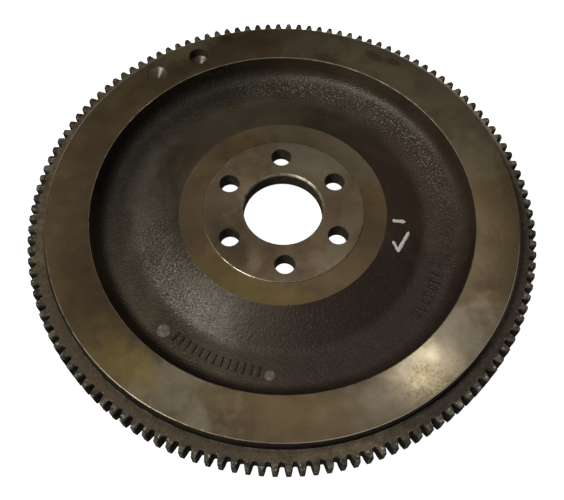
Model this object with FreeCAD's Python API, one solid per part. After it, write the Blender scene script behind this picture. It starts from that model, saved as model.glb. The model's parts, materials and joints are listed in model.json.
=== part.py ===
"""Clutch flywheel with a shrunk-on starter ring gear and three clutch dowels.

The origin is on the turning axis, in the face that bolts to the crankshaft. +Z points towards the
crankshaft, so the dished side of the casting faces up and the clutch side faces down. Lengths are
in millimetres and angles in degrees, counted from +X towards +Y as seen from the crankshaft side.
"""

import FreeCAD, Part

import math
import os

# Heights of the faces above and below the crankshaft bolting face.
BOLTING_FACE_Z = 0.0
HUB_ANNULUS_Z = -0.8
RIM_FACE_Z = 1.8
DISH_FLOOR_Z = -11.2
HUB_BACK_Z = -10.2
GEAR_TOP_Z = -5.7
GEAR_WIDTH = 12.5
COVER_SEAT_Z = -23.8
FRICTION_FACE_Z = -24.2

# Radii of the casting, from the bore outwards.
BORE_R = 22.0
BOLTING_DISC_R = 44.9
HUB_ANNULUS_R = 57.6
DISH_FLOOR_INNER_R = 80.0
DISH_WALL_TOP_R = 106.2
GEAR_SEAT_R = 131.0
GEAR_SHOULDER_R = 134.5

# Clutch side of the casting.
RECESS_FLOOR_R = 60.0
RECESS_MOUTH_R = 72.0
FRICTION_OUTER_R = 117.0

# Rough-cast blends and machined edge breaks.
DISH_WALL_DRAFT = 12.0
DISH_FILLET_R = 8.0
CONE_FOOT_FILLET_R = 14.0
RECESS_FILLET_R = 3.0
BORE_CHAMFER = 0.8
BORE_BACK_CHAMFER = 0.5
RIM_BEVEL = 1.1
EDGE_BREAK = 0.4

# Crankshaft bolt holes.
CRANK_BOLTS = 6
CRANK_BOLT_R = 5.5
CRANK_PCD = 68.5
CRANK_FIRST_ANGLE = 33.1
HOLE_EDGE_BREAK = 0.3

# Two drillings in the rim face that balance the casting, one deep and one only a drill-point.
BALANCE_DRILL_R = 6.0
BALANCE_POINT_ANGLE = 118.0
DEEP_DRILLING = {"circle_r": 118.9, "angle": 117.3, "straight_depth": 6.5}
SHALLOW_DRILLING = {"circle_r": 119.8, "angle": 130.9, "straight_depth": 0.4}

# Two low round pads cast on the dish floor.
CAST_PAD_R = 3.75
CAST_PAD_HEIGHT = 0.6
CAST_PAD_CIRCLE_R = 92.5
CAST_PAD_ANGLES = (229.0, 267.5)

# Clutch cover bolts and dowels, on one circle in the cover seat.
CLUTCH_PCD = 248.0
COVER_BOLTS = 6
COVER_BOLT_FIRST_ANGLE = 30.0
COVER_TAP_R = 3.4
COVER_TAP_DEPTH = 16.0
DOWELS = 3
DOWEL_FIRST_ANGLE = 60.0
DOWEL_NOSE_R = 4.0
DOWEL_SHANK_R = 4.5
DOWEL_SEAT_DEPTH = 8.0
DOWEL_STAND_OUT = 6.0
DOWEL_CHAMFER = 0.8

# Starter ring gear: 12 diametral pitch.
TEETH = 132
MODULE = 25.4 / 12.0
PITCH_R = TEETH * MODULE / 2.0
TIP_R = PITCH_R + MODULE
FLANK_DEPTH = 4.1
GAP_DEPTH = 5.0
ROOT_R = TIP_R - FLANK_DEPTH
GAP_FLOOR_R = TIP_R - GAP_DEPTH
TIP_HALF_WIDTH = 1.25
ROOT_HALF_WIDTH = 2.1
ENTRY_LENGTH = 2.2
ENTRY_TIP_DROP = 0.5
ENTRY_FLANK_CUT = 0.2
GEAR_BORE_CHAMFER = 0.5

AXIS = FreeCAD.Vector(0, 0, 1)
CENTRE = FreeCAD.Vector(0, 0, 0)


def polar(radius, angle, z=0.0):
    """Point at a radius and an angle in degrees round the turning axis."""
    turn = math.radians(angle)
    return FreeCAD.Vector(radius * math.cos(turn), radius * math.sin(turn), z)


def section_point(radius, z):
    """Point of the half section, which lies in the plane of X and Z."""
    return FreeCAD.Vector(radius, 0, z)


def rounded_section(corners):
    """Closed wire through (radius, z, fillet radius) corners, with an arc where the fillet isn't 0."""
    points = [section_point(radius, z) for radius, z, fillet in corners]
    edges = []
    ends = []
    for index, (radius, z, fillet) in enumerate(corners):
        here = points[index]
        if fillet == 0:
            ends.append((here, here))
            continue
        to_last = (points[index - 1] - here).normalize()
        to_next = (points[(index + 1) % len(points)] - here).normalize()
        half_angle = to_last.getAngle(to_next) / 2.0
        reach = fillet / math.tan(half_angle)
        bisector = (to_last + to_next).normalize()
        middle = here + bisector * (fillet / math.sin(half_angle) - fillet)
        start = here + to_last * reach
        stop = here + to_next * reach
        edges.append(Part.Arc(start, middle, stop).toShape())
        ends.append((start, stop))
    for index, (start, stop) in enumerate(ends):
        next_start = ends[(index + 1) % len(ends)][0]
        edges.append(Part.LineSegment(stop, next_start).toShape())
    return Part.Wire(Part.__sortEdges__(edges))


def casting_section():
    """Half section of the casting, from the bore round the crankshaft side to the clutch side."""
    wall_height = RIM_FACE_Z - DISH_FLOOR_Z
    wall_foot_r = DISH_WALL_TOP_R - wall_height * math.tan(math.radians(DISH_WALL_DRAFT))
    shoulder_z = GEAR_TOP_Z - GEAR_WIDTH
    return rounded_section([
        (BORE_R, BOLTING_FACE_Z - BORE_CHAMFER, 0),
        (BORE_R + BORE_CHAMFER, BOLTING_FACE_Z, 0),
        (BOLTING_DISC_R, BOLTING_FACE_Z, 0),
        (BOLTING_DISC_R, HUB_ANNULUS_Z, 0),
        (HUB_ANNULUS_R, HUB_ANNULUS_Z, 0),
        (DISH_FLOOR_INNER_R, DISH_FLOOR_Z, CONE_FOOT_FILLET_R),
        (wall_foot_r, DISH_FLOOR_Z, DISH_FILLET_R),
        (DISH_WALL_TOP_R, RIM_FACE_Z, 0),
        (GEAR_SEAT_R - RIM_BEVEL, RIM_FACE_Z, 0),
        (GEAR_SEAT_R, RIM_FACE_Z - RIM_BEVEL, 0),
        (GEAR_SEAT_R, shoulder_z, 0),
        (GEAR_SHOULDER_R, shoulder_z, 0),
        (GEAR_SHOULDER_R, COVER_SEAT_Z + RIM_BEVEL, 0),
        (GEAR_SHOULDER_R - RIM_BEVEL, COVER_SEAT_Z, 0),
        (FRICTION_OUTER_R + EDGE_BREAK, COVER_SEAT_Z, 0),
        (FRICTION_OUTER_R, FRICTION_FACE_Z, 0),
        (RECESS_MOUTH_R + EDGE_BREAK, FRICTION_FACE_Z, 0),
        (RECESS_MOUTH_R, FRICTION_FACE_Z + EDGE_BREAK, 0),
        (RECESS_FLOOR_R, HUB_BACK_Z, RECESS_FILLET_R),
        (BORE_R + BORE_BACK_CHAMFER, HUB_BACK_Z, 0),
        (BORE_R, HUB_BACK_Z + BORE_BACK_CHAMFER, 0),
    ])


def revolved(section):
    """Solid of revolution of a closed half section."""
    return Part.Face(section).revolve(CENTRE, AXIS, 360)


def crank_bolt_hole(angle):
    """One through hole with its top edge broken."""
    foot = polar(CRANK_PCD / 2.0, angle, HUB_BACK_Z)
    hole = Part.makeCylinder(CRANK_BOLT_R, BOLTING_FACE_Z - HUB_BACK_Z, foot, AXIS)
    mouth = polar(CRANK_PCD / 2.0, angle, BOLTING_FACE_Z - HOLE_EDGE_BREAK)
    edge = Part.makeCone(CRANK_BOLT_R, CRANK_BOLT_R + HOLE_EDGE_BREAK, HOLE_EDGE_BREAK, mouth, AXIS)
    return hole.fuse(edge)


def balance_drilling(circle_r, angle, straight_depth):
    """Blind drilling from the rim face, with the cone that the drill's point leaves."""
    point_height = BALANCE_DRILL_R / math.tan(math.radians(BALANCE_POINT_ANGLE / 2.0))
    shoulder_z = RIM_FACE_Z - straight_depth
    straight = Part.makeCylinder(BALANCE_DRILL_R, straight_depth, polar(circle_r, angle, shoulder_z), AXIS)
    tip = polar(circle_r, angle, shoulder_z - point_height)
    point = Part.makeCone(0, BALANCE_DRILL_R, point_height, tip, AXIS)
    return straight.fuse(point)


def blind_hole_from_seat(radius, depth, angle):
    """Blind round hole that opens in the clutch cover seat."""
    return Part.makeCylinder(radius, depth, polar(CLUTCH_PCD / 2.0, angle, COVER_SEAT_Z), AXIS)


def cast_pad(angle):
    """Low round pad standing on the dish floor."""
    foot = polar(CAST_PAD_CIRCLE_R, angle, DISH_FLOOR_Z - CAST_PAD_HEIGHT)
    return Part.makeCylinder(CAST_PAD_R, 2 * CAST_PAD_HEIGHT, foot, AXIS)


def spaced_angles(count, first):
    """Evenly spaced angles round a full turn."""
    return [first + 360.0 * index / count for index in range(count)]


def flywheel_casting():
    """The grey-iron disc with its holes, drillings and cast pads."""
    body = revolved(casting_section())
    body = body.fuse([cast_pad(angle) for angle in CAST_PAD_ANGLES])
    cuts = [crank_bolt_hole(angle) for angle in spaced_angles(CRANK_BOLTS, CRANK_FIRST_ANGLE)]
    cuts += [balance_drilling(**DEEP_DRILLING), balance_drilling(**SHALLOW_DRILLING)]
    for angle in spaced_angles(COVER_BOLTS, COVER_BOLT_FIRST_ANGLE):
        cuts.append(blind_hole_from_seat(COVER_TAP_R, COVER_TAP_DEPTH, angle))
    for angle in spaced_angles(DOWELS, DOWEL_FIRST_ANGLE):
        cuts.append(blind_hole_from_seat(DOWEL_SHANK_R, DOWEL_SEAT_DEPTH, angle))
    return body.cut(cuts)


def tooth_outline(z, tip_r, tip_half_width, root_half_width):
    """Closed wire round all the teeth at one height: tip, flank, root arc and flank of each."""
    pitch = 360.0 / TEETH
    tip_turn = math.degrees(tip_half_width / tip_r)
    root_turn = math.degrees(root_half_width / ROOT_R)
    edges = []
    for index in range(TEETH):
        middle = pitch * index
        tip_start = polar(tip_r, middle - tip_turn, z)
        tip_stop = polar(tip_r, middle + tip_turn, z)
        gap_start = polar(ROOT_R, middle + root_turn, z)
        gap_middle = polar(GAP_FLOOR_R, middle + pitch / 2.0, z)
        gap_stop = polar(ROOT_R, middle + pitch - root_turn, z)
        next_tip = polar(tip_r, middle + pitch - tip_turn, z)
        edges.append(Part.LineSegment(tip_start, tip_stop).toShape())
        edges.append(Part.LineSegment(tip_stop, gap_start).toShape())
        edges.append(Part.Arc(gap_start, gap_middle, gap_stop).toShape())
        edges.append(Part.LineSegment(gap_stop, next_tip).toShape())
    return Part.Wire(edges)


def ring_gear():
    """Steel hoop with straight teeth whose crankshaft-side ends are bevelled for the starter pinion."""
    bottom_z = GEAR_TOP_Z - GEAR_WIDTH
    full = (TIP_R, TIP_HALF_WIDTH, ROOT_HALF_WIDTH)
    bevelled = (TIP_R - ENTRY_TIP_DROP, TIP_HALF_WIDTH - ENTRY_FLANK_CUT, ROOT_HALF_WIDTH - ENTRY_FLANK_CUT)
    outlines = [
        tooth_outline(bottom_z, *full),
        tooth_outline(GEAR_TOP_Z - ENTRY_LENGTH, *full),
        tooth_outline(GEAR_TOP_Z, *bevelled),
    ]
    toothed = Part.makeLoft(outlines, True, True)
    bore = Part.makeCylinder(GEAR_SEAT_R, GEAR_WIDTH, FreeCAD.Vector(0, 0, bottom_z), AXIS)
    lead_z = GEAR_TOP_Z - GEAR_BORE_CHAMFER
    lead = Part.makeCone(GEAR_SEAT_R, GEAR_SEAT_R + GEAR_BORE_CHAMFER, GEAR_BORE_CHAMFER,
                         FreeCAD.Vector(0, 0, lead_z), AXIS)
    return toothed.cut([bore, lead])


def clutch_dowel(angle):
    """Stepped dowel: a shank pressed into the cover seat and a thinner nose that stands out of it."""
    shank_end_z = COVER_SEAT_Z + DOWEL_SEAT_DEPTH
    nose_end_z = COVER_SEAT_Z - DOWEL_STAND_OUT
    section = rounded_section([
        (0, shank_end_z, 0),
        (DOWEL_SHANK_R - DOWEL_CHAMFER, shank_end_z, 0),
        (DOWEL_SHANK_R, shank_end_z - DOWEL_CHAMFER, 0),
        (DOWEL_SHANK_R, COVER_SEAT_Z, 0),
        (DOWEL_NOSE_R, COVER_SEAT_Z, 0),
        (DOWEL_NOSE_R, nose_end_z + DOWEL_CHAMFER, 0),
        (DOWEL_NOSE_R - DOWEL_CHAMFER, nose_end_z, 0),
        (0, nose_end_z, 0),
    ])
    return revolved(section).translated(polar(CLUTCH_PCD / 2.0, angle))


def all_parts():
    """Every solid by the name of its node."""
    parts = {"flywheel_casting": flywheel_casting(), "ring_gear": ring_gear()}
    for number, angle in enumerate(spaced_angles(DOWELS, DOWEL_FIRST_ANGLE), start=1):
        parts[f"clutch_dowel_{number}"] = clutch_dowel(angle)
    return parts


os.makedirs("parts", exist_ok=True)
for name, shape in all_parts().items():
    shape.exportStep(f"parts/{name}.step")
    print(name, "valid", shape.isValid(), "solids", len(shape.Solids), "volume", round(shape.Volume))
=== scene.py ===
"""Looks of a clutch flywheel: its casting, starter ring gear, dowels and a dab of marking paint.

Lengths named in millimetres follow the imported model's frame: the turning axis is Z, height 0 is the
face that bolts to the crankshaft, and +Z points towards the crankshaft. Angles are in degrees,
counted from +X towards +Y.
"""

import json
import math

import bmesh
import bpy
import numpy as np
from mathutils import Matrix, Vector, noise


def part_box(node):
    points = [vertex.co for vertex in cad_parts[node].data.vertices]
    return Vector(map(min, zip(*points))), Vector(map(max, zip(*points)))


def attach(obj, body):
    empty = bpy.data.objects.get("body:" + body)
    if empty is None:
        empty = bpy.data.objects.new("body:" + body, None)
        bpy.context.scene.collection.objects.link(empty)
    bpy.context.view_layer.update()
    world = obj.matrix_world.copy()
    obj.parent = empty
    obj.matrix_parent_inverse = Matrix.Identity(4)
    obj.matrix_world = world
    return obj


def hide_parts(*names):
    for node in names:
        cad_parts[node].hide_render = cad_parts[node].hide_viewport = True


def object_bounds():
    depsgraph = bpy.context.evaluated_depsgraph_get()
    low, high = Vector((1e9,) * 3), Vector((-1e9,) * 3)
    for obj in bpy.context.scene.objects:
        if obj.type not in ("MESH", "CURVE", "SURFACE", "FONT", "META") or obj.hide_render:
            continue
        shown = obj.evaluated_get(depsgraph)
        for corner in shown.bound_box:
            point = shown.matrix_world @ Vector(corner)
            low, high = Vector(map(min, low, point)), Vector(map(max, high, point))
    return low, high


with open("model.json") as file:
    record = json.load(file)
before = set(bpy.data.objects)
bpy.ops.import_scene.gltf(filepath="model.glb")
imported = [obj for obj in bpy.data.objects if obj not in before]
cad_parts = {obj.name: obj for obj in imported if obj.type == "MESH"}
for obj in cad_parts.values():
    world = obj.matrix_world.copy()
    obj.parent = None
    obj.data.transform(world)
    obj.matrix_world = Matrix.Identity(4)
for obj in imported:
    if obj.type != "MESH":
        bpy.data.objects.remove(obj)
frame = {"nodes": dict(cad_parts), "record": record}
CAD_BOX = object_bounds()

MM = 0.001
BODY = "root"
MOUNTS = {mount["name"]: mount for mount in frame["record"]["mounts"]}
CASTING_LOW, CASTING_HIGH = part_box("flywheel_casting")
GEAR_LOW, GEAR_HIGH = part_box("ring_gear")

# Heights, in millimetres.
BOLTING_FACE_Z = 0.0
HUB_ANNULUS_Z = -0.8
RIM_FACE_Z = CASTING_HIGH.z / MM
DISH_FLOOR_Z = -11.2
HUB_BACK_Z = -10.2
GEAR_TOP_Z = GEAR_HIGH.z / MM
GEAR_BOTTOM_Z = GEAR_LOW.z / MM
FRICTION_FACE_Z = CASTING_LOW.z / MM
COVER_SEAT_Z = MOUNTS["clutch_cover_bolts"]["pos_m"][2] / MM

# Radii, in millimetres.
BORE_R = MOUNTS["crank_spigot_bore"]["dims"]["r_mm"]
BOLTING_DISC_R = 44.9
HUB_ANNULUS_R = 57.6
CONE_FOOT_R = 80.0
DISH_WALL_TOP_R = 106.2
GEAR_SEAT_R = 131.0
SHOULDER_R = CASTING_HIGH.x / MM
RECESS_FLOOR_R = 60.0
RECESS_MOUTH_R = 72.0
FRICTION_OUTER_R = 117.0

# Rough-cast blends, bevels and machined edge breaks, in millimetres.
DISH_WALL_DRAFT = 12.0
DISH_FILLET = 8.0
CONE_FOOT_FILLET = 14.0
RECESS_FILLET = 3.0
BORE_CHAMFER = 0.8
RIM_BEVEL = 1.1
EDGE_BREAK = 0.4
EDGE_ROUND = 0.18
RUB_WIDTH = 0.45
RUB_DROP = 0.22
RUB_ROUND = 0.1

# Unevenness of the cast skin: the size of its swells, where they start in the noise, and their height.
SAND_SWELLS = ((24.0, (0, 0, 0), 0.20), (7.0, (9, 4, 2), 0.05), (0.55, (3, 8, 5), 0.09))
SAND_FADE = 2.0

# Drillings.
CRANK_CIRCLE_R = MOUNTS["crank_bolt_circle"]["dims"]["pcd_mm"] / 2
CRANK_BOLTS = MOUNTS["crank_bolt_circle"]["dims"]["count"]
CRANK_HOLE_R = MOUNTS["crank_bolt_circle"]["dims"]["hole_r_mm"]
CRANK_FIRST_ANGLE = 33.1
BALANCE_R = 6.0
BALANCE_DRILLINGS = ((118.9, 117.3, 6.5), (119.8, 130.9, 0.4))
COVER_CIRCLE_R = MOUNTS["clutch_cover_bolts"]["dims"]["pcd_mm"] / 2
COVER_BOLTS = MOUNTS["clutch_cover_bolts"]["dims"]["count"]
COVER_HOLE_R = MOUNTS["clutch_cover_bolts"]["dims"]["hole_r_mm"]
COVER_FIRST_ANGLE = 30.0
COVER_HOLE_DEPTH = 16.0
DOWEL_CIRCLE_R = MOUNTS["clutch_cover_dowels"]["dims"]["pcd_mm"] / 2
DOWELS = MOUNTS["clutch_cover_dowels"]["dims"]["count"]
DOWEL_LOW, DOWEL_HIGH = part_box("clutch_dowel_1")
DOWEL_SHANK_R = (DOWEL_HIGH.x - DOWEL_LOW.x) / 2 / MM
DOWEL_FIRST_ANGLE = 60.0
DOWEL_SEAT_DEPTH = 8.0
HOLE_EDGE_BREAK = 0.3
BALANCE_EDGE_BREAK = 0.2
COVER_EDGE_BREAK = 0.6
DOWEL_EDGE_BREAK = 0.15
POINT_ANGLE = 118.0
CONE_EYE = 0.06
OVERRUN = 2.0

# Raised details cast in the dish: pads by angle and radius, rows of ribs by circle, first and last
# angle and count. Edges and levels run upwards.
DETAIL_SINK = 1.5
PADS = ((229.0, 3.75), (267.5, 2.9))
PAD_HEIGHT = 0.6
PAD_CIRCLE_R = 92.5
PAD_EDGE = ((0.0, -0.35), (-0.2, -0.1), (-0.7, 0.0))
PAD_DOME = 0.08
RIB_ROWS = ((90.8, 233.2, 263.6, 13), (91.5, 322.5, 339.5, 7))
RIB_SIZE = (5.6, 1.5, 1.0)
RIB_LEVELS = ((0.4, 0.0), (0.85, 0.14), (1.0, 0.30))

# Marking paint: a tick, then a dash, as runs of X and Y.
PAINT_STROKES = (((60.8, -16.5), (63.6, -21.5), (70.5, -8.5)), ((60.8, -4.2), (68.6, -2.6)))
PAINT_HALF = 0.95
PAINT_STEP = 0.6
PAINT_SECTION = ((-1, -0.3), (-1, 0.05), (-0.6, 0.16), (0, 0.20), (0.6, 0.16), (1, 0.05), (1, -0.3))
PAINT_TIP = 0.45
PAINT_SPREAD = 0.3
PAINT_UNEVEN = 0.35

# Ring gear teeth.
TEETH = 132
TIP_R = GEAR_HIGH.x / MM
TOOTH_DEPTH = 4.1
TIP_HALF = 1.25
ROOT_HALF = 2.1
ROOT_DEPTH = 0.9
TIP_ROUND = 0.22
LAND_WIDTH = 1.6
ENTRY_LENGTH = 2.2
ENTRY_TIP_DROP = 0.5
ENTRY_LEADING_CUT = 0.35
ENTRY_TRAILING_CUT = 0.12
ENTRY_TIP_ROUND = 0.5
BACK_WEAR = 0.2
BACK_EDGE = 0.25
NOSE = 0.45
NOSE_LEADING_WEAR = 0.15
NOSE_TRAILING_WEAR = 0.12
NOSE_TIP_WEAR = 0.40
CROWN_WIDTH = 0.25
SEAM_LAND = 2.0
SEAM_CHAMFER_WIDTH = 0.6
SEAM_CHAMFER_DEPTH = 0.5
CORNER_CUT = 0.3
CORNER_SWELL = 0.12
FLANK_SWELLS = ((0.35, 0.10), (0.7, 0.09))
GAP_SHARES = (0.3, 0.6, 1.0)
TIP_FACES = 3
WEAR_SPREAD = 0.35
TIP_UNEVEN = 0.05

# Material patches: how deep they reach, and how ragged their edges are.
PATCH_THROUGH = 1000
PATCH_RAGGED = 0.45

# Angles, in degrees, above which an edge is shaded sharp.
CASTING_CREASE = 32
GEAR_CREASE = 34
DOWEL_CREASE = 30
PAINT_CREASE = 50

# Mesh fineness.
TURN_STEPS = 216
DISH_FINENESS = 4
HOLE_STEPS = 64
CAST_STEP = 0.8
RECESS_STEP = 1.5
FACE_STEP = 12.0


# ------------ materials


def on_circle(radius, turn, z=0.0):
    """Point at a radius, a turn in radians and a height."""
    return radius * math.cos(turn), radius * math.sin(turn), z


def metres(point):
    """The same point in metres, from millimetres."""
    return tuple(value * MM for value in point)


class Nodes:
    """One material's node tree, with short calls for what the materials share. Sizes are in mm."""

    def __init__(self, name):
        self.material = bpy.data.materials.new(name)
        self.material.use_nodes = True
        self.tree = self.material.node_tree
        self.shader = self.tree.nodes["Principled BSDF"]
        inputs = {0: self.new("TexCoord").outputs["Object"], "Scale": 1 / MM}
        self.position = self.new("VectorMath", inputs, operation="SCALE").outputs["Vector"]

    def link(self, source, socket):
        """Joins an output, or writes a plain value, to an input."""
        if isinstance(source, bpy.types.NodeSocket):
            self.tree.links.new(source, socket)
        elif socket.type == "RGBA":
            socket.default_value = (*source, 1.0)
        else:
            socket.default_value = source

    def new(self, kind, inputs=None, **settings):
        """Node of that kind with those settings and inputs."""
        node = self.tree.nodes.new("ShaderNode" + kind)
        for name, setting in settings.items():
            setattr(node, name, setting)
        for socket, source in (inputs or {}).items():
            self.link(source, node.inputs[socket])
        return node

    def vector(self, operation, first, second=(0, 0, 0)):
        """Vector maths; returns the vector, or the number for LENGTH and DOT_PRODUCT."""
        node = self.new("VectorMath", {0: first, 1: second}, operation=operation)
        return node.outputs["Value" if operation in ("LENGTH", "DOT_PRODUCT") else "Vector"]

    def math(self, operation, first, second, clamp=False):
        """Scalar maths."""
        node = self.new("Math", {0: first, 1: second}, operation=operation, use_clamp=clamp)
        return node.outputs[0]

    def times(self, first, *others):
        """Product of several values."""
        for other in others:
            first = self.math("MULTIPLY", first, other)
        return first

    def radius(self):
        """Distance from the turning axis."""
        return self.vector("LENGTH", self.vector("MULTIPLY", self.position, (1, 1, 0)))

    def radial(self, none, full):
        """0 at one radius and 1 at the other, either of which may be the outer one."""
        return self.span(self.radius(), none, full)

    def noise(self, size, detail=3.0, rough=0.55, warp=0.0, shift=0.0):
        """Noise whose blotches are about that size."""
        moved = self.vector("ADD", self.position, (shift, shift, shift))
        inputs = {"Vector": moved, "Scale": 1 / size, "Detail": detail, "Roughness": rough}
        return self.new("TexNoise", {**inputs, "Distortion": warp}).outputs["Fac"]

    def patch(self, angle, radius, length, width):
        """1 inside a ragged patch of that length along the ring and that width across it, else 0."""
        turn = math.radians(angle)
        node = self.new("Mapping", {
            "Vector": self.position,
            "Location": on_circle(radius, turn),
            "Rotation": (0, 0, turn),
            "Scale": (width / 2, length / 2, PATCH_THROUGH),
        }, vector_type="TEXTURE")
        away = self.vector("LENGTH", node.outputs["Vector"])
        uneven = self.span(self.noise(9.0, detail=5.0, shift=angle), 0.3, 0.7, -PATCH_RAGGED, PATCH_RAGGED)
        return self.span(self.math("ADD", away, uneven), 0.55, 1.25, 1.0, 0.0)

    def sector(self, angle, full, fade):
        """1 within full degrees of that angle round the axis, falling to 0 at fade degrees."""
        turn = math.radians(angle)
        ahead = self.vector("DOT_PRODUCT", self.position, on_circle(1.0, turn))
        cosine = self.math("DIVIDE", ahead, self.radius())
        return self.span(cosine, math.cos(math.radians(fade)), math.cos(math.radians(full)))

    def rings(self, size):
        """Noise that changes only with the radius, as turning marks do."""
        inputs = {"W": self.radius(), "Scale": 1 / size}
        return self.new("TexNoise", inputs, noise_dimensions="1D").outputs["Fac"]

    def span(self, value, low, high, to_low=0.0, to_high=1.0):
        """Maps low..high to to_low..to_high, held at the ends."""
        inputs = {"Value": value, "From Min": low, "From Max": high, "To Min": to_low, "To Max": to_high}
        return self.new("MapRange", inputs).outputs["Result"]

    def ramp(self, value, stops):
        """Colours along a value: stops are (place, colour)."""
        node = self.new("ValToRGB", {"Fac": value})
        elements = node.color_ramp.elements
        while len(elements) < len(stops):
            elements.new(0.5)
        for element, (place, colour) in zip(elements, stops):
            element.position = place
            element.color = (*colour, 1.0)
        return node.outputs["Color"]

    def mix(self, amount, first, second):
        """Colour mix."""
        return self.new("Mix", {0: amount, 6: first, 7: second}, data_type="RGBA").outputs[2]

    def cover(self, colour, tint, *amounts):
        """The colour with a tint laid over it, as thickly as the product of the amounts."""
        return self.mix(self.times(*amounts), colour, tint)

    def bump(self, height, depth, under=None):
        """Normal from a height of 0..1 that stands for that many millimetres."""
        inputs = {"Strength": 1.0, "Distance": depth * MM, "Height": height}
        if under is not None:
            inputs["Normal"] = under
        return self.new("Bump", inputs).outputs["Normal"]

    def turning_sheen(self, amount):
        """Stretches highlights across the turning marks."""
        node = self.new("Tangent", direction_type="RADIAL", axis="Z")
        self.link(node.outputs["Tangent"], self.shader.inputs["Tangent"])
        self.shader.inputs["Anisotropic"].default_value = amount

    def finish(self, colour, roughness, normal, metallic=0.0, specular=0.5):
        """Wires the shader up and returns the material."""
        sockets = self.shader.inputs
        self.link(colour, sockets["Base Color"])
        self.link(roughness, sockets["Roughness"])
        self.link(normal, sockets["Normal"])
        sockets["Metallic"].default_value = metallic
        sockets["Specular IOR Level"].default_value = specular
        return self.material


def turned_iron(name, film, stains_and_highlights=(), smooth=0.36, rough=0.48, metallic=0.7, polished=(), arcs=(),
                freckles=(), cloud=34.0):
    """Turned grey iron under a thin oil-brown film.

    film is its dark, middle and light colour. Each stain is an angle, a radius, a length along the
    ring, a width across it, a colour and how strongly it covers the film; some of them are painted
    highlights, partly over bare metal. Each polished arc is an angle, the degrees either side of it
    that are fully polished and those where the polish ends. arcs are placed in the same way and
    coloured all across the ring; some of them are painted light and painted shade. freckles are
    stain colours in fine spots.
    """
    n = Nodes(name)
    dark, middle, light = film
    blotch = n.noise(cloud, detail=5.0, warp=0.5)
    colour = n.ramp(blotch, ((0.34, dark), (0.5, middle), (0.66, light)))
    for *place, tint, amount in stains_and_highlights:
        colour = n.cover(colour, tint, n.patch(*place), amount)
    for *place, tint, amount in arcs:
        colour = n.cover(colour, tint, n.sector(*place), amount)
    for angle, *size, tint, amount in freckles:
        spots = n.span(n.noise(1.2, detail=2.0, shift=angle), 0.50, 0.58, 0.0, amount)
        colour = n.cover(colour, tint, n.patch(angle, *size), spots)
    mottle = n.span(n.noise(6.0, detail=6.0, rough=0.65, shift=71.0), 0.42, 0.66, 0.0, 0.25)
    colour = n.mix(mottle, colour, dark)
    rings = n.rings(0.55)
    colour = n.mix(n.span(rings, 0.3, 0.7, 0.0, 0.10), colour, (0.02, 0.015, 0.008))
    pits = n.span(n.noise(0.9, detail=2.0, shift=37.0), 0.71, 0.77, 0.0, 0.7)
    colour = n.mix(pits, colour, (0.012, 0.010, 0.008))
    polish = n.noise(18.0, detail=5.0, shift=5.0)
    roughness = n.span(polish, 0.35, 0.65, smooth, rough)
    for place in polished:
        roughness = n.math("SUBTRACT", roughness, n.times(n.sector(*place), 0.13))
    roughness = n.math("ADD", roughness, n.span(pits, 0.0, 0.7, 0.0, 0.2), clamp=True)
    normal = n.bump(rings, 0.006)
    normal = n.bump(n.noise(1.1, detail=4.0), 0.010, under=normal)
    n.turning_sheen(0.5)
    return n.finish(colour, roughness, normal, metallic=metallic)


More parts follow.
